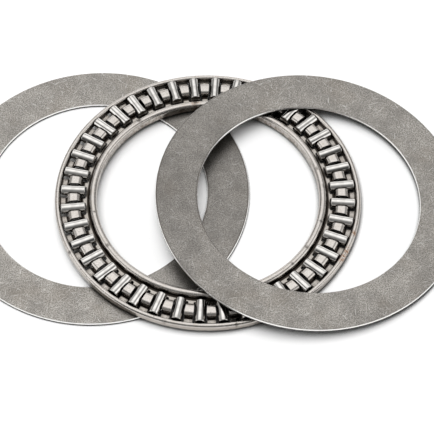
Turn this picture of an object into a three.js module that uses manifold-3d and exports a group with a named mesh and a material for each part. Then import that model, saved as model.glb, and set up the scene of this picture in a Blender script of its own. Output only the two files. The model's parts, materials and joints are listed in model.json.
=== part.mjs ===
// Needle roller thrust bearing for a 65 mm shaft, 65 x 90 x 5 mm when stacked.
// Its three rings lie taken apart and fanned out on a bench: a plain washer flat on the bench,
// the cage with its rollers leaning on that washer, and the second plain washer leaning on the cage.
// Units are mm, +Z is up, +X runs along the fan from the lower washer to the upper one.

import * as THREE from 'three';
import { mergeVertices } from 'three/addons/utils/BufferGeometryUtils.js';
import Module from 'manifold-3d';

const wasm = await Module();
wasm.setup();

// ---- driving dimensions ----

const SHAFT_DIAMETER = 65;
const OUTSIDE_DIAMETER = 90;

const WASHER_THICKNESS = 1;
const WASHER_BORE_PLAY = 0.3;
const WASHER_EDGE_BREAK = 0.12;

const ROLLER_COUNT = 40;
const ROLLER_DIAMETER = 3;
const ROLLER_LENGTH = 7;
const ROLLER_CHAMFER = 0.15;
const ROLLER_CIRCLE_RADIUS = 39.6;
const FIRST_ROLLER_ANGLE = THREE.MathUtils.degToRad(1.1);

const SHEET_THICKNESS = 0.5;
const CAGE_HEIGHT = 2.6;
const CAGE_EDGE_PLAY = 0.1;

// The cage's section across its ring: an outer hem, a raised hump over the rollers, an inner bead.
const HEM_WIDTH = 0.95;
const HEM_BEND = 0.4;
const HEM_BELOW_HUMP = 0.55;
const HUMP_MIDDLE = 39.35;
const HUMP_TOP_WIDTH = 2.9;
const HUMP_SLOPE_RUN = 0.6;
const HUMP_BEND = 1.3;
const BEAD_WIDTH = 1.75;
const BEAD_BEND = 0.75;

const POCKET_END_PLAY = 0.2;
const POCKET_SIDE_PLAY = 0.35;
const LIP_PLAY = -0.1;
const LIP_LENGTH = 0.6;

// Where each ring's centre lies on the bench, and how far it leans down towards +X.
const CAGE_CENTRE = { x: 32.9, y: -0.4, z: 1.03 };
const CAGE_LEAN = THREE.MathUtils.degToRad(1.2);
const UPPER_WASHER_CENTRE = { x: 62.5, y: 0, z: 3.43 };
const UPPER_WASHER_LEAN = THREE.MathUtils.degToRad(4.35);

// ---- smoothness ----

const WASHER_SEGMENTS = 60;
const CAGE_SEGMENTS = ROLLER_COUNT;
const ROLLER_SEGMENTS = 12;

// ---- materials ----

function tumbledSteel() {
  return new THREE.MeshStandardMaterial({ color: 0x8b8985, roughness: 0.55, metalness: 0.9 });
}

function pressedSteel() {
  return new THREE.MeshStandardMaterial({ color: 0xc4bfb7, roughness: 0.38, metalness: 0.9 });
}

function groundSteel() {
  return new THREE.MeshStandardMaterial({ color: 0xd5d5d6, roughness: 0.18, metalness: 1 });
}

// ---- helpers ----

// Turns a closed outline of (radius, height) points about the Z axis into one ring.
function turnedRing(outline, segments) {
  const closed = [...outline, outline[0]].map(([radius, height]) => new THREE.Vector2(radius, height));
  return new THREE.LatheGeometry(closed, segments).rotateX(Math.PI / 2);
}

function weldedByPosition(geometry) {
  const bare = geometry.clone();
  bare.deleteAttribute('normal');
  bare.deleteAttribute('uv');
  return mergeVertices(bare);
}

function toSolid(geometry) {
  const welded = weldedByPosition(geometry);
  return new wasm.Manifold(new wasm.Mesh({
    numProp: 3,
    vertProperties: new Float32Array(welded.attributes.position.array),
    triVerts: new Uint32Array(welded.index.array),
  }));
}

function toGeometry(solid) {
  const mesh = solid.getMesh();
  const geometry = new THREE.BufferGeometry();
  geometry.setAttribute('position', new THREE.BufferAttribute(mesh.vertProperties, mesh.numProp));
  geometry.setIndex(new THREE.BufferAttribute(mesh.triVerts, 1));
  geometry.computeVertexNormals();
  return geometry;
}

function namedMesh(name, geometry, material) {
  const mesh = new THREE.Mesh(geometry, material);
  mesh.name = name;
  return mesh;
}

// ---- plain washers ----

function washerGeometry() {
  const inner = (SHAFT_DIAMETER + WASHER_BORE_PLAY) / 2;
  const outer = OUTSIDE_DIAMETER / 2;
  const top = WASHER_THICKNESS;
  const edge = WASHER_EDGE_BREAK;
  return turnedRing([
    [inner, edge],
    [inner + edge, 0],
    [outer - edge, 0],
    [outer, edge],
    [outer, top - edge],
    [outer - edge, top],
    [inner + edge, top],
    [inner, top - edge],
  ], WASHER_SEGMENTS);
}

// ---- cage: one pressed sheet with a W-shaped section ----

const SHEET_HALF = SHEET_THICKNESS / 2;
const CAGE_BOTTOM = (ROLLER_DIAMETER - CAGE_HEIGHT) / 2;
const CAGE_TOP = CAGE_BOTTOM + CAGE_HEIGHT;
const CAGE_OUTER = OUTSIDE_DIAMETER / 2 - CAGE_EDGE_PLAY;
const CAGE_INNER = SHAFT_DIAMETER / 2 + CAGE_EDGE_PLAY;

// The middle line of the sheet from the outer lip to the inner lip. Each corner has a bend radius
// and the number of straight steps that its bend is made of.
function sheetMiddleLine() {
  const high = CAGE_TOP - SHEET_HALF;
  const low = CAGE_BOTTOM + SHEET_HALF;
  const outerLip = CAGE_OUTER - SHEET_HALF;
  const hemWall = outerLip - HEM_WIDTH;
  const hemHigh = high - HEM_BELOW_HUMP;
  const innerLip = CAGE_INNER + SHEET_HALF;
  const beadWall = innerLip + BEAD_WIDTH;
  const shoulder = HUMP_TOP_WIDTH / 2;
  const foot = shoulder + HUMP_SLOPE_RUN;
  return [
    { at: [outerLip, CAGE_BOTTOM] },
    { at: [outerLip, hemHigh], bend: HEM_BEND, steps: 1 },
    { at: [hemWall, hemHigh], bend: HEM_BEND, steps: 1 },
    { at: [hemWall, low] },
    { at: [HUMP_MIDDLE + foot, low] },
    { at: [HUMP_MIDDLE + shoulder, high], bend: HUMP_BEND, steps: 2 },
    { at: [HUMP_MIDDLE - shoulder, high], bend: HUMP_BEND, steps: 2 },
    { at: [HUMP_MIDDLE - foot, low] },
    { at: [beadWall, low] },
    { at: [beadWall, high], bend: BEAD_BEND, steps: 2 },
    { at: [innerLip, high], bend: BEAD_BEND, steps: 2 },
    { at: [innerLip, CAGE_BOTTOM] },
  ];
}

// Replaces each bent corner by points on its arc.
function roundCorners(line) {
  const points = [];
  line.forEach(({ at, bend, steps }, index) => {
    const corner = new THREE.Vector2(...at);
    if (!bend) {
      points.push(corner);
      return;
    }
    const back = new THREE.Vector2(...line[index - 1].at).sub(corner).normalize();
    const ahead = new THREE.Vector2(...line[index + 1].at).sub(corner).normalize();
    const halfAngle = Math.acos(back.dot(ahead)) / 2;
    const middle = back.clone().add(ahead).normalize();
    const centre = corner.clone().addScaledVector(middle, bend / Math.sin(halfAngle));
    const start = corner.clone().addScaledVector(back, bend / Math.tan(halfAngle)).sub(centre);
    const sweep = (Math.PI - 2 * halfAngle) * Math.sign(ahead.cross(back));
    for (let step = 0; step <= steps; step += 1) {
      points.push(start.clone().rotateAround(new THREE.Vector2(), (sweep * step) / steps).add(centre));
    }
  });
  return points;
}

// Moves an open line sideways by a distance, with mitred corners.
function offsetLine(points, distance) {
  const sideOf = (from, to) => {
    const along = to.clone().sub(from).normalize();
    return new THREE.Vector2(-along.y, along.x);
  };
  return points.map((point, index) => {
    const before = sideOf(points[Math.max(index - 1, 0)], points[Math.max(index, 1)]);
    const last = points.length - 1;
    const after = sideOf(points[Math.min(index, last - 1)], points[Math.min(index + 1, last)]);
    const mitre = before.clone().add(after).normalize();
    return point.clone().addScaledVector(mitre, distance / mitre.dot(before));
  });
}

function cageSheetGeometry() {
  const middle = roundCorners(sheetMiddleLine());
  const upperSide = offsetLine(middle, -SHEET_HALF);
  const underSide = offsetLine(middle, SHEET_HALF).reverse();
  const outline = [...upperSide, ...underSide].map((point) => [point.x, point.y]);
  return turnedRing(outline, CAGE_SEGMENTS);
}

// One pocket: a slot a little wider than the roller. It narrows at its ends, under the roller, and
// at the middle of the hump, over the roller, and these lips hold the roller in.
function pocketCutter() {
  const inner = ROLLER_CIRCLE_RADIUS - ROLLER_LENGTH / 2 - POCKET_END_PLAY;
  const outer = ROLLER_CIRCLE_RADIUS + ROLLER_LENGTH / 2 + POCKET_END_PLAY;
  const slot = (from, to, play) => {
    const width = ROLLER_DIAMETER + 2 * play;
    const box = new THREE.BoxGeometry(to - from, width, 2 * ROLLER_DIAMETER);
    return toSolid(box.translate((from + to) / 2, 0, ROLLER_DIAMETER / 2));
  };
  return slot(inner, outer, LIP_PLAY)
    .add(slot(inner + LIP_LENGTH, HUMP_MIDDLE - LIP_LENGTH / 2, POCKET_SIDE_PLAY))
    .add(slot(HUMP_MIDDLE + LIP_LENGTH / 2, outer - LIP_LENGTH, POCKET_SIDE_PLAY));
}

function rollerAngle(index) {
  return FIRST_ROLLER_ANGLE + (index * 2 * Math.PI) / ROLLER_COUNT;
}

// The sheet is turned so that each web between two pockets is one flat facet of it.
function cageGeometry() {
  const cutter = pocketCutter();
  let cage = toSolid(cageSheetGeometry().rotateZ(rollerAngle(0)));
  for (let index = 0; index < ROLLER_COUNT; index += 1) {
    cage = cage.subtract(cutter.rotate([0, 0, THREE.MathUtils.radToDeg(rollerAngle(index))]));
  }
  return toGeometry(cage);
}

// ---- rollers ----

// A roller lies along its local Y axis.
function rollerGeometry() {
  const radius = ROLLER_DIAMETER / 2;
  const half = ROLLER_LENGTH / 2;
  const outline = [
    [0, -half],
    [radius - ROLLER_CHAMFER, -half],
    [radius, -half + ROLLER_CHAMFER],
    [radius, half - ROLLER_CHAMFER],
    [radius - ROLLER_CHAMFER, half],
    [0, half],
  ];
  return new THREE.LatheGeometry(outline.map(([x, y]) => new THREE.Vector2(x, y)), ROLLER_SEGMENTS);
}

function roller(index) {
  const number = String(index + 1).padStart(2, '0');
  const mesh = namedMesh(`needle_roller_${number}`, rollerGeometry(), groundSteel());
  const angle = rollerAngle(index);
  mesh.position.set(
    ROLLER_CIRCLE_RADIUS * Math.cos(angle),
    ROLLER_CIRCLE_RADIUS * Math.sin(angle),
    ROLLER_DIAMETER / 2,
  );
  mesh.rotation.z = angle - Math.PI / 2;
  return mesh;
}

// ---- the fanned-out bearing ----

function leaningRing(centre, lean) {
  const ring = new THREE.Group();
  ring.position.set(centre.x, centre.y, centre.z);
  ring.rotation.y = lean;
  return ring;
}

function fannedBearing() {
  const bearing = new THREE.Group();
  bearing.add(namedMesh('lower_washer', washerGeometry(), tumbledSteel()));

  const cageRing = leaningRing(CAGE_CENTRE, CAGE_LEAN);
  cageRing.add(namedMesh('cage', cageGeometry(), pressedSteel()));
  for (let index = 0; index < ROLLER_COUNT; index += 1) {
    cageRing.add(roller(index));
  }
  bearing.add(cageRing);

  const upperRing = leaningRing(UPPER_WASHER_CENTRE, UPPER_WASHER_LEAN);
  upperRing.add(namedMesh('upper_washer', washerGeometry(), tumbledSteel()));
  bearing.add(upperRing);
  return bearing;
}

// Puts the middle of the bearing's footprint at the origin.
function centreOnBench(bearing) {
  const box = new THREE.Box3().setFromObject(bearing, true);
  const middle = box.getCenter(new THREE.Vector3());
  bearing.position.set(-middle.x, -middle.y, -box.min.z);
  return bearing;
}

export default centreOnBench(fannedBearing());
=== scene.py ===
import json
import math

import bpy
import numpy as np
from mathutils import Matrix, Vector


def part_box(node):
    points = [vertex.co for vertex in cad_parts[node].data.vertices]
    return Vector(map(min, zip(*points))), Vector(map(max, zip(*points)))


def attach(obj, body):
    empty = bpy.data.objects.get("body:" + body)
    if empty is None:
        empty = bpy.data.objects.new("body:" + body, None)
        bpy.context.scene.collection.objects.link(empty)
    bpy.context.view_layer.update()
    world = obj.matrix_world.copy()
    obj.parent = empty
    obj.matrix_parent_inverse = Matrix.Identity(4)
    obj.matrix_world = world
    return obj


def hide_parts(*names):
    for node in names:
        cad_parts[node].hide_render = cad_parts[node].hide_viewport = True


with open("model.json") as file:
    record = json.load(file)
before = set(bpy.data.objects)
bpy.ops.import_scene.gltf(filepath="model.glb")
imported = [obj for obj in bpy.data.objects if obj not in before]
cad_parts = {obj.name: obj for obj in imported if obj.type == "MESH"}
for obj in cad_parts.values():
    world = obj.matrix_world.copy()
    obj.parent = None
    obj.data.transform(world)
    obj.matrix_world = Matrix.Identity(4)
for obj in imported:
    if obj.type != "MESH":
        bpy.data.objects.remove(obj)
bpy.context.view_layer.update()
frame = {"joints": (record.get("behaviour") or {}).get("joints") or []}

MM = 0.001
TOLERANCE = 1e-6
JOINTS = {joint["name"]: joint for joint in frame["joints"]}

# ---- sizes of the real pieces, in millimetres ----

WASHER_BORE_RADIUS = 32.65
WASHER_OUTER_RADIUS = 45.0
WASHER_THICKNESS = 1.0
WASHER_SEGMENTS = 360
WASHER_MIDDLE_RADIUS = (WASHER_BORE_RADIUS + WASHER_OUTER_RADIUS) / 2
WASHER_HALF_WIDTH = (WASHER_OUTER_RADIUS - WASHER_BORE_RADIUS) / 2

ROLLER_COUNT = 40
ROLLER_RADIUS = 1.5
ROLLER_LENGTH = 7.0
ROLLER_SEGMENTS = 64

SHEET_THICKNESS = 0.5
CAGE_OUTER_RADIUS = 44.9
CAGE_INNER_RADIUS = 32.6
OUTER_LIP = CAGE_OUTER_RADIUS - SHEET_THICKNESS / 2
INNER_LIP = CAGE_INNER_RADIUS + SHEET_THICKNESS / 2
CAGE_BOTTOM = 0.2
CAGE_TOP = 2.8
HEM_TOP = 2.25
HEM_WIDTH = 0.95
BEAD_WIDTH = 1.75
HUMP_MIDDLE = 39.35
HUMP_SHOULDER = 1.45
HUMP_FOOT = 2.05
POCKET_INNER = 35.9
POCKET_OUTER = 43.3
POCKET_HALF_WIDTH = 2.1
POCKET_CORNER = 0.45
WAIST_HALF_WIDTH = 1.85
WAIST_INNER = 37.3
WAIST_OUTER = 41.4
WAIST_EASE = 0.5

# Nicks in the pressed sheet, as (angle round the cage in degrees, radius, reach, depth).
NICKS = (
    (8.5, 34.0, 0.45, 0.05), (19.5, 33.6, 0.6, 0.06), (50.5, 34.2, 0.5, 0.06), (99.5, 33.9, 0.9, 0.04),
    (130.5, 34.0, 1.1, 0.03), (162.5, 34.3, 0.5, 0.06), (193.5, 33.7, 0.5, 0.06), (214.5, 33.9, 0.8, 0.12),
    (318.5, 34.0, 0.6, 0.06), (330.5, 33.8, 0.7, 0.08), (347.5, 34.1, 0.6, 0.06), (209.5, 44.4, 0.6, 0.08),
    (283.5, 44.4, 0.5, 0.06), (257.0, 44.5, 0.5, 0.05), (74.0, 44.4, 0.5, 0.05),
)
# Rusty patches on it, as (angle, radius, reach).
RUST = ((334.0, 44.5, 2.2), (337.5, 44.6, 1.6), (99.5, 33.9, 1.6), (346.0, 44.5, 1.2))
# Both lie on the sheet above this height.
MARKED_ABOVE = 1.0

# ---- colours, as linear red, green, blue and alpha ----

WASHER_DARK_GRAIN = (0.12, 0.112, 0.102, 1)
WASHER_PALE_GRAIN = (0.60, 0.570, 0.527, 1)
WASHER_CLOUD = (0.19, 0.181, 0.17, 1)
WASHER_STAIN = (0.24, 0.205, 0.165, 1)
WASHER_SCRATCH = (0.85, 0.84, 0.82, 1)
WASHER_SHADE = (0.03, 0.028, 0.026, 1)
WASHER_DARKER_SIDE = (0.10, 0.094, 0.088, 1)
WASHER_DARKER_SIDE_EDGE = (0.08, 0.07, 0.062, 1)
WASHER_BURNISHED_EDGE = (0.93, 0.92, 0.90, 1)
WASHER_TORN_AND_SHADED_EDGE = (0.07, 0.066, 0.062, 1)

SHEET_DARK_GRAIN = (0.50, 0.470, 0.440, 1)
SHEET_PALE_GRAIN = (0.66, 0.625, 0.590, 1)
SHEET_CLOUD = (0.45, 0.395, 0.335, 1)
SHEET_PIT = (0.09, 0.07, 0.055, 1)
SHEET_LOW_SHADE_AND_GRIME = (0.42, 0.37, 0.31, 1)
SHEET_DULL_AND_SHADED_RIM = (0.40, 0.365, 0.33, 1)
SHEET_SMEAR = (0.17, 0.135, 0.105, 1)
SHEET_RUST = (0.30, 0.15, 0.07, 1)
SHEET_NICK = (0.05, 0.042, 0.035, 1)
SHEET_SHADE_AND_GRIME = (0.03, 0.025, 0.02, 1)

ROLLER_BRIGHT = (0.70, 0.685, 0.66, 1)
ROLLER_SMUDGE = (0.61, 0.59, 0.565, 1)
ROLLER_SHADE = (0.02, 0.018, 0.016, 1)

BENCH_WHITE = (0.94, 0.94, 0.94, 1)
BENCH_SHADE = (0.04, 0.038, 0.036, 1)
STUDIO_WHITE = (1.0, 0.998, 0.995, 1)


# ---- where each ring lies ----

def ring_matrix(origin, up, towards):
    """The ring's own frame: Z is its axis, and X points as nearly along towards as it can."""
    up = Vector(up).normalized()
    across = up.cross(Vector(towards)).normalized()
    matrix = Matrix((across.cross(up), across, up)).transposed().to_4x4()
    matrix.translation = Vector(origin)
    return matrix


def lower_washer_matrix():
    low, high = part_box("lower_washer")
    middle = (low + high) / 2
    return ring_matrix((middle.x, middle.y, low.z), (0, 0, 1), (1, 0, 0))


def upper_washer_matrix():
    spin = JOINTS["upper_washer_spin"]
    return ring_matrix(spin["pos_m"], spin["axis"], (1, 0, 0))


def cage_matrix():
    spin = JOINTS["cage_spin"]
    return ring_matrix(spin["pos_m"], spin["axis"], JOINTS["roller_01_spin"]["axis"])


def roller_matrix(number):
    """A roller's own frame: Z runs along it, away from the bearing's axis."""
    spin = JOINTS[f"roller_{number:02d}_spin"]
    return ring_matrix(spin["pos_m"], spin["axis"], JOINTS["cage_spin"]["axis"])


# ---- mesh building ----

def bent_line(corners, closed=False):
    """Points along a line whose corners (x, y, bend radius, steps) are rounded by arcs."""
    points = []
    count = len(corners)
    for index, (x, y, bend, steps) in enumerate(corners):
        corner = np.array((x, y), float)
        if bend == 0 or (not closed and index in (0, count - 1)):
            points.append(corner)
            continue
        back = np.array(corners[index - 1][:2], float) - corner
        ahead = np.array(corners[(index + 1) % count][:2], float) - corner
        back /= np.linalg.norm(back)
        ahead /= np.linalg.norm(ahead)
        half_angle = math.acos(float(np.clip(back @ ahead, -1, 1))) / 2
        middle = (back + ahead) / np.linalg.norm(back + ahead)
        centre = corner + middle * bend / math.sin(half_angle)
        start = corner + back * bend / math.tan(half_angle) - centre
        turn = math.copysign(math.pi - 2 * half_angle, ahead[0] * back[1] - ahead[1] * back[0])
        for step in range(steps + 1):
            angle = turn * step / steps
            cosine, sine = math.cos(angle), math.sin(angle)
            points.append(np.array(((cosine, -sine), (sine, cosine))) @ start + centre)
    return points


def mesh_object(name, points_mm, faces, matrix, material):
    """A smooth mesh in the frame. Its attribute local_mm keeps each point's place in its own ring."""
    points = np.asarray(points_mm, float)
    placed = points * MM @ np.array(matrix.to_3x3()).T + np.array(matrix.translation)
    mesh = bpy.data.meshes.new(name)
    mesh.from_pydata([tuple(p) for p in placed], [], faces)
    local = mesh.attributes.new("local_mm", "FLOAT_VECTOR", "POINT")
    local.data.foreach_set("vector", points.astype(np.float32).ravel())
    mesh.materials.append(material)
    mesh.shade_smooth()
    mesh.update()
    obj = bpy.data.objects.new(name, mesh)
    bpy.context.scene.collection.objects.link(obj)
    return obj


def store_shares(obj, name, shares):
    """Keeps one number per point of the mesh for its material to use."""
    attribute = obj.data.attributes.new(name, "FLOAT", "POINT")
    attribute.data.foreach_set("value", np.asarray(shares, np.float32))


def revolve(outline, segments):
    """Turns a closed outline of (radius, height) points about Z."""
    angles = np.arange(segments) * 2 * math.pi / segments
    points = [(r * math.cos(a), r * math.sin(a), z) for a in angles for r, z in outline]
    count = len(outline)
    faces = []
    for segment in range(segments):
        here = segment * count
        there = (segment + 1) % segments * count
        for index in range(count):
            after = (index + 1) % count
            faces.append((here + index, there + index, there + after, here + after))
    return points, faces


def revolve_pin(outline, segments):
    """Turns an outline that starts and ends on the Z axis about it."""
    ring = outline[1:-1]
    points, _ = revolve(ring, segments)
    count = len(ring)
    first = len(points)
    points += [(0, 0, outline[0][1]), (0, 0, outline[-1][1])]
    faces = []
    for segment in range(segments):
        here = segment * count
        there = (segment + 1) % segments * count
        faces.append((first, there, here))
        for index in range(count - 1):
            faces.append((here + index, there + index, there + index + 1, here + index + 1))
        faces.append((here + count - 1, there + count - 1, first + 1))
    return points, faces


# ---- shader graphs ----

class Graph:
    """Adds nodes to a material or world by type, settings and inputs."""

    def __init__(self, owner):
        owner.use_nodes = True
        self.tree = owner.node_tree
        self.tree.nodes.clear()

    def add(self, kind, inputs=None, **settings):
        """A new node. An input that is another node's socket is linked, and any other is a value."""
        node = self.tree.nodes.new(kind)
        for key, value in settings.items():
            setattr(node, key, value)
        for key, value in (inputs or {}).items():
            if isinstance(value, bpy.types.NodeSocket):
                self.tree.links.new(value, node.inputs[key])
            else:
                node.inputs[key].default_value = value
        return node

    def math(self, operation, first, second=0.0, third=0.0):
        inputs = {0: first, 1: second, 2: third}
        return self.add("ShaderNodeMath", inputs, operation=operation).outputs[0]

    def times(self, first, second):
        return self.math("MULTIPLY", first, second)

    def vector(self, operation, first, second=(0, 0, 0)):
        node = self.add("ShaderNodeVectorMath", {0: first, 1: second}, operation=operation)
        return node.outputs["Value" if operation == "LENGTH" else "Vector"]

    def noise(self, vector, scale, detail=2.0, roughness=0.5):
        inputs = {"Vector": vector, "Scale": scale, "Detail": detail, "Roughness": roughness}
        return self.add("ShaderNodeTexNoise", inputs).outputs["Fac"]

    def band(self, value, low, high, out_low=0.0, out_high=1.0):
        """Smoothly carries value from low..high to out_low..out_high."""
        inputs = {"Value": value, "From Min": low, "From Max": high, "To Min": out_low, "To Max": out_high}
        return self.add("ShaderNodeMapRange", inputs, interpolation_type="SMOOTHSTEP").outputs["Result"]

    def fade(self, value, low, high):
        """1 up to low, falling smoothly to 0 at high."""
        return self.band(value, low, high, 1.0, 0.0)

    def ramp(self, value, stops):
        """Carries value through (place, brightness) stops."""
        node = self.add("ShaderNodeValToRGB", {"Fac": value})
        elements = node.color_ramp.elements
        for place, level in stops[1:-1]:
            elements.new(place).color = (level, level, level, 1)
        for element, (place, level) in ((elements[0], stops[0]), (elements[-1], stops[-1])):
            element.position = place
            element.color = (level, level, level, 1)
        return node.outputs["Color"]

    def mix(self, factor, first, second):
        """A colour between two, which are the node's sockets 6 and 7."""
        inputs = {0: factor, 6: first, 7: second}
        return self.add("ShaderNodeMix", inputs, data_type="RGBA").outputs[2]

    def layered(self, tone, layers):
        """A colour under (share, colour) layers, the last one on top."""
        for share, colour in layers:
            tone = self.mix(share, tone, colour)
        return tone

    def bump(self, height, strength, distance, normal=None):
        inputs = {"Height": height, "Strength": strength, "Distance": distance}
        if normal is not None:
            inputs["Normal"] = normal
        return self.add("ShaderNodeBump", inputs).outputs["Normal"]

    def local(self):
        return self.add("ShaderNodeAttribute", attribute_name="local_mm").outputs["Vector"]

    def share(self, name):
        return self.add("ShaderNodeAttribute", attribute_name=name).outputs["Fac"]

    def parts(self, vector):
        return self.add("ShaderNodeSeparateXYZ", {0: vector}).outputs

    def radius_and_height(self, place):
        radius = self.vector("LENGTH", self.vector("MULTIPLY", place, (1, 1, 0)))
        return radius, self.parts(place)["Z"]

    def shelter(self, distance_mm, low, high):
        """1 where other surfaces crowd within the distance and 0 in the open, a mask for painted shade."""
        inputs = {"Distance": distance_mm * MM}
        open_share = self.add("ShaderNodeAmbientOcclusion", inputs, samples=8).outputs["AO"]
        return self.fade(open_share, low, high)

    def surface(self, **inputs):
        """Ends the graph in one principled shader, whose input names are given with underscores."""
        named = {key.replace("_", " "): value for key, value in inputs.items()}
        shader = self.add("ShaderNodeBsdfPrincipled", named)
        self.add("ShaderNodeOutputMaterial", {"Surface": shader.outputs[0]})


# ---- washer steel ----

# Families of fine scratches, as (direction in radians, fineness, threshold: higher leaves fewer).
SCRATCHES = (
    (0.35, 5.0, 0.675), (0.9, 4.0, 0.69), (1.5, 5.5, 0.675), (2.2, 4.5, 0.685), (2.8, 5.0, 0.675),
)
SCRATCH_EASE = 0.04


def scratches(graph, local, angle, fineness, threshold):
    """Thin straight scratches along one direction of the ring's plane, 1 on a scratch and 0 off it."""
    turned = graph.add("ShaderNodeVectorRotate", {"Vector": local, "Angle": angle}).outputs[0]
    moved = graph.vector("ADD", turned, (17 * angle, 5 * angle, 0))
    stretched = graph.vector("MULTIPLY", moved, (0.25, fineness, 0.3))
    return graph.band(graph.noise(stretched, 1.0, roughness=0.6), threshold, threshold + SCRATCH_EASE)


def blanked_edge(graph, local):
    """Shares of a washer near its cut edges, on them, and on the torn zone below their burnished zone."""
    radius, height = graph.radius_and_height(local)
    off_middle = graph.math("ABSOLUTE", graph.math("SUBTRACT", radius, WASHER_MIDDLE_RADIUS))
    near = graph.band(off_middle, WASHER_HALF_WIDTH - 0.75, WASHER_HALF_WIDTH - 0.3)
    on_edge = graph.band(off_middle, WASHER_HALF_WIDTH - 0.22, WASHER_HALF_WIDTH - 0.12)
    torn_height = graph.math("MULTIPLY_ADD", graph.noise(local, 0.9, detail=3.0), 0.2, 0.4)
    torn_and_shaded = graph.times(on_edge, graph.math("LESS_THAN", height, torn_height))
    return near, on_edge, torn_and_shaded


def washer_steel():
    """Tumbled hard steel, finely mottled, cloudy and scratched, and darker towards one side."""
    material = bpy.data.materials.new("washer_steel")
    graph = Graph(material)
    local = graph.local()
    grain = graph.noise(local, 3.1, detail=4.0, roughness=0.8)
    clouds = graph.noise(local, 0.16, detail=3.0, roughness=0.55)
    stains = graph.noise(graph.vector("ADD", local, (31, 7, 0)), 0.09)
    darker_share = graph.share("darker_side_share")
    near_edge, on_edge, torn_and_shaded = blanked_edge(graph, local)
    lines = 0.0
    for angle, fineness, threshold in SCRATCHES:
        lines = graph.math("MAXIMUM", lines, scratches(graph, local, angle, fineness, threshold))

    mottled = graph.mix(graph.band(grain, 0.34, 0.66), WASHER_DARK_GRAIN, WASHER_PALE_GRAIN)
    tone = graph.layered(mottled, (
        (graph.band(clouds, 0.35, 0.7, 0.0, 0.3), WASHER_CLOUD),
        (graph.band(stains, 0.5, 0.75, 0.0, 0.35), WASHER_STAIN),
        (graph.times(lines, 0.7), WASHER_SCRATCH),
        (graph.shelter(6.0, 0.1, 0.8), WASHER_SHADE),
        # Darker towards one side of each washer, and darker still near its cut edges there.
        (graph.times(darker_share, 0.45), WASHER_DARKER_SIDE),
        (graph.times(graph.times(near_edge, darker_share), 0.6), WASHER_DARKER_SIDE_EDGE),
        (on_edge, WASHER_BURNISHED_EDGE),
        # The torn zone: darker torn steel, and also painted shade along the washer's foot.
        (torn_and_shaded, WASHER_TORN_AND_SHADED_EDGE),
    ))

    roughness = graph.band(clouds, 0.3, 0.7, 0.32, 0.42)
    for share, change in ((grain, 0.08), (on_edge, -0.12), (torn_and_shaded, 0.35)):
        roughness = graph.math("MULTIPLY_ADD", share, change, roughness)

    normal = graph.bump(grain, 0.10, 0.05 * MM)
    normal = graph.bump(lines, 0.12, -0.02 * MM, normal)
    graph.surface(Base_Color=tone, Metallic=1.0, Roughness=roughness, Normal=normal)
    return material


# ---- cage and roller steel ----

# Low parts of the sheet beside its walls, darkened with painted shade and grime, as (start radius, end
# radius).
TROUGHS = ((34.3, 35.7), (36.4, 37.8), (40.8, 42.0), (42.9, 43.7))
TROUGH_EASE = 0.3


def cage_shade_and_grime(graph, radius, low):
    """Painted shade in sheltered places and, where the sheet is low, painted shade and grime beside its
    walls.
    """
    shade_and_grime = graph.shelter(2.0, 0.4, 0.8)
    for start, end in TROUGHS:
        rise = graph.band(radius, start, start + TROUGH_EASE)
        trough = graph.times(rise, graph.fade(radius, end - TROUGH_EASE, end))
        shade_and_grime = graph.math("MAXIMUM", shade_and_grime, graph.times(trough, low))
    return shade_and_grime


def dull_and_shaded_rim(graph, local, radius, height):
    """The cage's outer wall, darker and mottled: duller steel, and painted shade as well."""
    rim = graph.times(graph.band(radius, OUTER_LIP - 0.2, OUTER_LIP - 0.05), graph.fade(height, 1.4, 1.8))
    return graph.times(rim, graph.band(graph.noise(local, 1.1, detail=3.0), 0.3, 0.7, 0.55, 0.95))


def bore_smears(graph, local, radius, height):
    """Brown smears on the cage's bore wall, below its bead."""
    wall = graph.times(graph.fade(radius, INNER_LIP + 0.1, INNER_LIP + 0.3), graph.fade(height, 1.7, 2.2))
    streaks = graph.noise(graph.vector("MULTIPLY", local, (1, 1, 0.6)), 1.0, detail=4.0, roughness=0.7)
    return graph.times(wall, graph.band(streaks, 0.42, 0.62, 0.1, 0.85))


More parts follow.
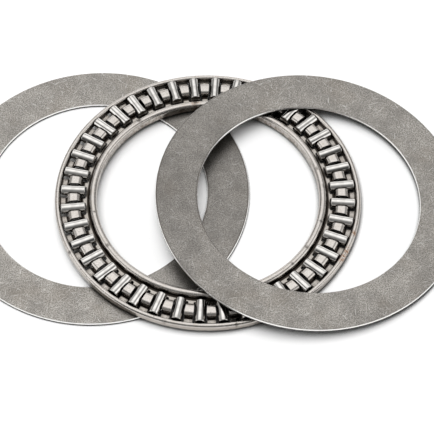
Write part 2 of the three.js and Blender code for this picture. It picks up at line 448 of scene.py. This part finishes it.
def cage_steel():
    """Satin pressed sheet with pits, nicks, painted shade and grime in its low parts, a shaded outer wall
    and a little rust.
    """
    material = bpy.data.materials.new("cage_steel")
    graph = Graph(material)
    local = graph.local()
    radius, height = graph.radius_and_height(local)
    grain = graph.noise(local, 3.2, detail=4.0, roughness=0.7)
    clouds = graph.noise(local, 0.5, detail=3.0)
    pits = graph.noise(graph.vector("ADD", local, (5, 3, 11)), 1.7, roughness=0.6)
    pitted = graph.band(pits, 0.68, 0.74)
    blotches = graph.band(graph.noise(local, 2.2, detail=3.0), 0.35, 0.6)
    low = graph.fade(height, 0.9, 2.0)

    mottled = graph.mix(graph.band(grain, 0.3, 0.7), SHEET_DARK_GRAIN, SHEET_PALE_GRAIN)
    tone = graph.layered(mottled, (
        (graph.band(clouds, 0.45, 0.8, 0.0, 0.4), SHEET_CLOUD),
        (graph.times(pitted, 0.8), SHEET_PIT),
        # Where the sheet is low it is darker and browner: painted shade and grime.
        (graph.times(low, 0.25), SHEET_LOW_SHADE_AND_GRIME),
        # The outer wall: duller steel and painted shade.
        (dull_and_shaded_rim(graph, local, radius, height), SHEET_DULL_AND_SHADED_RIM),
        (bore_smears(graph, local, radius, height), SHEET_SMEAR),
        (graph.times(graph.share("rusty"), blotches), SHEET_RUST),
        (graph.times(graph.share("nicked"), 0.9), SHEET_NICK),
        # Painted shade in sheltered places, with shade and grime in the low troughs.
        (cage_shade_and_grime(graph, radius, low), SHEET_SHADE_AND_GRIME),
    ))

    roughness = graph.band(grain, 0.3, 0.7, 0.18, 0.28)
    roughness = graph.math("MULTIPLY_ADD", pitted, 0.3, roughness)
    normal = graph.bump(grain, 0.12, 0.06 * MM)
    normal = graph.bump(pitted, 0.3, -0.06 * MM, normal)
    graph.surface(Base_Color=tone, Metallic=1.0, Roughness=roughness, Normal=normal)
    return material


def roller_steel():
    """Ground bright steel with faint grinding rings, and painted shade where it is sheltered."""
    material = bpy.data.materials.new("roller_steel")
    graph = Graph(material)
    local = graph.local()
    rings = graph.noise(graph.vector("MULTIPLY", local, (0.6, 0.6, 9.0)), 1.0, detail=3.0)
    smudge = graph.noise(local, 0.9)
    tone = graph.mix(graph.band(smudge, 0.35, 0.7), ROLLER_BRIGHT, ROLLER_SMUDGE)
    tone = graph.mix(graph.shelter(1.3, 0.2, 0.65), tone, ROLLER_SHADE)
    roughness = graph.band(rings, 0.3, 0.7, 0.05, 0.10)
    normal = graph.bump(rings, 0.05, 0.02 * MM)
    graph.surface(Base_Color=tone, Metallic=1.0, Roughness=roughness, Normal=normal)
    return material


# ---- plain washers ----

def washer(name, node, matrix, material, darker_angle, darker_least):
    """A blanked washer: drawn-in, rounded upper edges, a tapered torn zone and sharper lower edges.

    It is darker towards one side, most towards darker_angle, and that darkening is nowhere less than
    darker_least.
    """
    roll, burr, taper, draw, tear = 0.12, 0.05, 0.04, 0.14, 0.5
    inner, outer, top = WASHER_BORE_RADIUS, WASHER_OUTER_RADIUS, WASHER_THICKNESS
    outline = bent_line([
        (outer - taper, 0.0, burr, 2),
        (outer, tear, 0, 0),
        (outer - draw, top, roll, 4),
        (inner + draw, top, roll, 4),
        (inner, tear, 0, 0),
        (inner + taper, 0.0, burr, 2),
    ], closed=True)
    points, faces = revolve(outline, WASHER_SEGMENTS)
    obj = mesh_object(name, points, faces, matrix, material)
    towards_darker_angle = np.array([math.cos(math.atan2(y, x) - darker_angle) for x, y, _ in points])
    darker_start = 0.2
    darker_share = (towards_darker_angle - darker_start) / (1 - darker_start)
    store_shares(obj, "darker_side_share", np.clip(darker_share, darker_least, 1))
    weighted = obj.modifiers.new("even_shading", "WEIGHTED_NORMAL")
    weighted.keep_sharp = True
    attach(obj, node)
    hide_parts(node)


# ---- cage ----

def cage_middle_line():
    """The middle of the sheet from the outer lip to the inner lip, as (radius, height)."""
    high = CAGE_TOP - SHEET_THICKNESS / 2
    low = CAGE_BOTTOM + SHEET_THICKNESS / 2
    hem_high = HEM_TOP - SHEET_THICKNESS / 2
    hem_wall = OUTER_LIP - HEM_WIDTH
    bead_wall = INNER_LIP + BEAD_WIDTH
    line = bent_line([
        (OUTER_LIP, CAGE_BOTTOM, 0, 0),
        (OUTER_LIP, hem_high, 0.5, 6),
        (hem_wall, hem_high, 0.3, 5),
        (hem_wall, low, 0.35, 4),
        (HUMP_MIDDLE + HUMP_FOOT, low, 0.45, 4),
        (HUMP_MIDDLE + HUMP_SHOULDER, high, 0.95, 8),
        (HUMP_MIDDLE - HUMP_SHOULDER, high, 0.95, 8),
        (HUMP_MIDDLE - HUMP_FOOT, low, 0.45, 4),
        (bead_wall, low, 0.6, 5),
        (bead_wall, high, 0.8, 7),
        (INNER_LIP, high, 0.8, 7),
        (INNER_LIP, CAGE_BOTTOM, 0, 0),
    ])
    from_pocket_end = (0, 0.03, 0.1, 0.22, 0.45, 0.8)
    wanted = [POCKET_INNER + distance for distance in from_pocket_end]
    wanted += [POCKET_OUTER - distance for distance in from_pocket_end]
    wanted += [HUMP_MIDDLE + step for step in (-0.4, 0, 0.4)]
    return with_points_at(line, wanted)


def with_points_at(line, radii):
    """Adds a point wherever a level stretch of the line crosses one of the radii."""
    result = [line[0]]
    for start, end in zip(line, line[1:]):
        if abs(start[1] - end[1]) < TOLERANCE:
            nearest, farthest = sorted((start[0], end[0]))
            inside = [r for r in radii if nearest + TOLERANCE < r < farthest - TOLERANCE]
            inside.sort(reverse=bool(start[0] > end[0]))
            result += [np.array((r, start[1])) for r in inside]
        result.append(end)
    return result


def eased(value, low, high):
    """0 up to low, rising smoothly to 1 at high."""
    share = min(max((value - low) / (high - low), 0), 1)
    return share * share * (3 - 2 * share)


def pocket_half_width(radius):
    """Half the pocket's width: rounded at its ends, with a narrower waist where the sheet is high."""
    depth = min(max(min(radius - POCKET_INNER, POCKET_OUTER - radius), 0), POCKET_CORNER)
    rest = POCKET_CORNER - depth
    half = POCKET_HALF_WIDTH - (POCKET_CORNER - math.sqrt(POCKET_CORNER ** 2 - rest ** 2))
    waist = eased(radius, WAIST_INNER, WAIST_INNER + WAIST_EASE)
    waist *= eased(-radius, -WAIST_OUTER, WAIST_EASE - WAIST_OUTER)
    return half - waist * (POCKET_HALF_WIDTH - WAIST_HALF_WIDTH)


def cage_columns(radius):
    """Angles of the mesh columns round the whole cage at a radius: across each web, then each pocket."""
    web = (-1, -0.93, -0.7, -0.35, 0, 0.35, 0.7, 0.93, 1)
    pocket = (-0.7, -0.36, 0, 0.36, 0.7)
    pitch = 2 * math.pi / ROLLER_COUNT
    half_pocket = math.asin(pocket_half_width(radius) / radius)
    angles = []
    for index in range(ROLLER_COUNT):
        angles += [(index + 0.5) * pitch + share * (pitch / 2 - half_pocket) for share in web]
        angles += [(index + 1) * pitch + share * half_pocket for share in pocket]
    return angles, len(web), len(web) + len(pocket)


def cage_surface():
    """The sheet's middle surface with its pockets left out, as points and faces."""
    line = cage_middle_line()
    points = []
    for radius, height in line:
        angles, web_columns, pitch_columns = cage_columns(radius)
        points += [(radius * math.cos(a), radius * math.sin(a), height) for a in angles]
    columns = pitch_columns * ROLLER_COUNT
    faces = []
    for row in range(len(line) - 1):
        radii = (line[row][0], line[row + 1][0])
        in_pocket = min(radii) > POCKET_INNER - TOLERANCE and max(radii) < POCKET_OUTER + TOLERANCE
        for column in range(columns):
            if in_pocket and column % pitch_columns >= web_columns - 1:
                continue
            after = (column + 1) % columns
            faces.append((
                row * columns + column,
                row * columns + after,
                (row + 1) * columns + after,
                (row + 1) * columns + column,
            ))
    return points, faces


def without_loose_points(points, faces):
    """The same faces without the points that none of them uses, such as those inside the pockets."""
    used = sorted({index for face in faces for index in face})
    new_index = {old: new for new, old in enumerate(used)}
    return [points[index] for index in used], [tuple(new_index[i] for i in face) for face in faces]


def closeness(points, angle, radius, reach):
    """1 at a place on the sheet's upper parts, falling to about a tenth at reach away from it."""
    steepness = 1.5
    place = radius * np.array((math.cos(math.radians(angle)), math.sin(math.radians(angle))))
    away = np.linalg.norm(points[:, :2] - place, axis=1)
    return np.exp(-(away * steepness / reach) ** 2) * (points[:, 2] > MARKED_ABOVE)


def cage(material):
    """The pressed sheet: its nicked middle surface, given its thickness and soft punched edges."""
    points, faces = without_loose_points(*cage_surface())
    points = np.array(points)
    nicked = np.zeros(len(points))
    for angle, radius, reach, depth in NICKS:
        near = closeness(points, angle, radius, reach)
        points[:, 2] -= near * depth
        nicked = np.maximum(nicked, near)
    rusty = np.max([closeness(points, *patch) for patch in RUST], axis=0)
    obj = mesh_object("pressed_cage", points, faces, cage_matrix(), material)
    store_shares(obj, "nicked", nicked)
    store_shares(obj, "rusty", rusty)
    sheet = obj.modifiers.new("sheet", "SOLIDIFY")
    sheet.thickness = SHEET_THICKNESS * MM
    sheet.offset = 0
    sheet.use_even_offset = True
    edges = obj.modifiers.new("punched_edges", "BEVEL")
    edges.width = 0.08 * MM
    edges.segments = 2
    edges.limit_method = "ANGLE"
    edges.angle_limit = math.radians(50)
    shading = obj.modifiers.new("even_shading", "WEIGHTED_NORMAL")
    shading.keep_sharp = True
    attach(obj, "cage")
    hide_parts("cage")


# ---- rollers ----

def roller_outline():
    """Half a roller's section with rounded ends, as (radius, place along it)."""
    half = ROLLER_LENGTH / 2
    rounding = 0.22
    corners = bent_line([
        (0, -half, 0, 0),
        (ROLLER_RADIUS, -half, rounding, 5),
        (ROLLER_RADIUS, half, rounding, 5),
        (0, half, 0, 0),
    ])
    # A ring of points just inside the rounding keeps the end's shading flat.
    flat = ROLLER_RADIUS - rounding - 0.05
    return [corners[0], (flat, -half), *corners[1:-1], (flat, half), corners[-1]]


def rollers(material):
    """All the rollers, as copies of one mesh in code, each placed along its own axis."""
    points, faces = revolve_pin(roller_outline(), ROLLER_SEGMENTS)
    for number in range(1, ROLLER_COUNT + 1):
        obj = mesh_object(f"ground_roller_{number:02d}", points, faces, roller_matrix(number), material)
        obj.modifiers.new("even_shading", "WEIGHTED_NORMAL").keep_sharp = True
        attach(obj, f"roller_{number:02d}")
        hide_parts(f"needle_roller_{number:02d}")


# ---- bench, light and camera ----

BENCH_REACH = 3.0


def bench():
    """A plain white top, darkened in the narrow gaps under the rings, where little light gets in."""
    material = bpy.data.materials.new("white_bench")
    graph = Graph(material)
    shaded = graph.math("MAXIMUM", graph.shelter(2.5, 0.4, 0.75), graph.shelter(7.0, 0.2, 0.5))
    tone = graph.mix(shaded, BENCH_WHITE, BENCH_SHADE)
    graph.surface(Base_Color=tone, Roughness=0.8)
    signs = ((-1, -1), (1, -1), (1, 1), (-1, 1))
    mesh = bpy.data.meshes.new("bench")
    mesh.from_pydata([(x * BENCH_REACH, y * BENCH_REACH, 0) for x, y in signs], [], [(0, 1, 2, 3)])
    mesh.materials.append(material)
    obj = bpy.data.objects.new("bench", mesh)
    bpy.context.scene.collection.objects.link(obj)


# Brightness of the studio over a half circle from the horizon behind the bench (0 degrees) up over
# the top (90) and down to the horizon on the camera's side (180): a pale wall, a dimmer gap above it,
# a softbox overhead and a dim room.
STUDIO_ARC = (
    (0, 1.5), (18, 1.5), (25, 0.65), (41, 0.65), (49, 1.2), (58, 1.42), (88, 1.42),
    (97, 1.0), (106, 0.6), (118, 0.38), (132, 0.24), (145, 0.21), (162, 0.24), (180, 0.32),
)
# How much of that is left towards the sides, as (direction's X, share).
STUDIO_SIDES = (
    (-1.0, 0.45), (-0.8, 0.38), (-0.6, 0.38), (-0.5, 0.6), (-0.42, 1.0), (0.26, 1.0), (0.36, 0.6),
    (0.46, 0.35), (0.6, 0.35), (0.8, 0.5), (1.0, 0.5),
)
STUDIO_PEAK = 1.5
PANEL_LEVEL = 1.4


def side_panels(graph, x, y, z):
    """1 on a low, pale panel at either side of the bench, as the direction (x, y, z) meets it."""
    panels = graph.band(graph.math("ABSOLUTE", x), 0.66, 0.78)
    panels = graph.times(panels, graph.band(y, -0.68, -0.5))
    panels = graph.times(panels, graph.fade(graph.math("MULTIPLY_ADD", x, -0.12, y), 0.1, 0.4))
    return graph.times(panels, graph.fade(z, 0.58, 0.68))


def studio_world():
    """Soft light from all round, brightest overhead and behind, dimmer at the sides and in front."""
    world = bpy.data.worlds.new("studio")
    bpy.context.scene.world = world
    graph = Graph(world)
    x, y, z = graph.parts(graph.add("ShaderNodeTexCoord").outputs["Generated"])
    arc = graph.math("DIVIDE", graph.math("ARCTAN2", z, y), math.pi)
    along = graph.ramp(arc, [(degrees / 180, level / STUDIO_PEAK) for degrees, level in STUDIO_ARC])
    sideways = graph.math("MULTIPLY_ADD", x, 0.5, 0.5)
    across = graph.ramp(sideways, [((side + 1) / 2, share) for side, share in STUDIO_SIDES])
    level = graph.times(graph.times(along, across), STUDIO_PEAK)
    level = graph.math("MAXIMUM", level, graph.times(side_panels(graph, x, y, z), PANEL_LEVEL))

    shade = graph.add("ShaderNodeBackground", {"Color": STUDIO_WHITE, "Strength": level})
    graph.add("ShaderNodeOutputWorld", {"Surface": shade.outputs[0]})


def area_light(name, place, size, power):
    """A light over the bench that the metal doesn't mirror."""
    data = bpy.data.lights.new(name, "AREA")
    data.shape = "RECTANGLE"
    data.size, data.size_y = size
    data.energy = power
    light = bpy.data.objects.new(name, data)
    light.visible_glossy = False
    light.location = place
    light.rotation_euler = (-Vector(place)).to_track_quat("-Z", "Y").to_euler()
    bpy.context.scene.collection.objects.link(light)


def camera():
    """The photo's view: from the front, high up, through a long lens."""
    azimuth, elevation, roll = math.radians(5.21), math.radians(55.98), math.radians(-1.39)
    target = Vector((4.72, -5.49, 0)) * MM
    distance = 611.1 * MM
    forward = Vector((
        -math.sin(azimuth) * math.cos(elevation),
        math.cos(azimuth) * math.cos(elevation),
        -math.sin(elevation),
    ))
    data = bpy.data.cameras.new("photo_view")
    data.lens = 172.97
    data.sensor_width = 36
    data.clip_start = 0.01
    obj = bpy.data.objects.new("photo_view", data)
    level = forward.to_track_quat("-Z", "Y").to_matrix()
    obj.matrix_world = (level @ Matrix.Rotation(roll, 3, "Z")).to_4x4()
    obj.location = target - forward * distance
    bpy.context.scene.collection.objects.link(obj)
    bpy.context.scene.camera = obj


# ---- the scene ----

steel = washer_steel()
washer(
    "plain_washer_lower", "lower_washer", lower_washer_matrix(), steel,
    darker_angle=0.0, darker_least=0.0,
)
washer(
    "plain_washer_upper", "upper_washer", upper_washer_matrix(), steel,
    darker_angle=math.pi, darker_least=0.18,
)
cage(cage_steel())
rollers(roller_steel())
bench()
studio_world()
area_light("overhead_tent", place=(-0.20, 0.0, 0.95), size=(1.0, 0.8), power=6.5)
camera()
bpy.context.scene.view_settings.view_transform = "Standard"
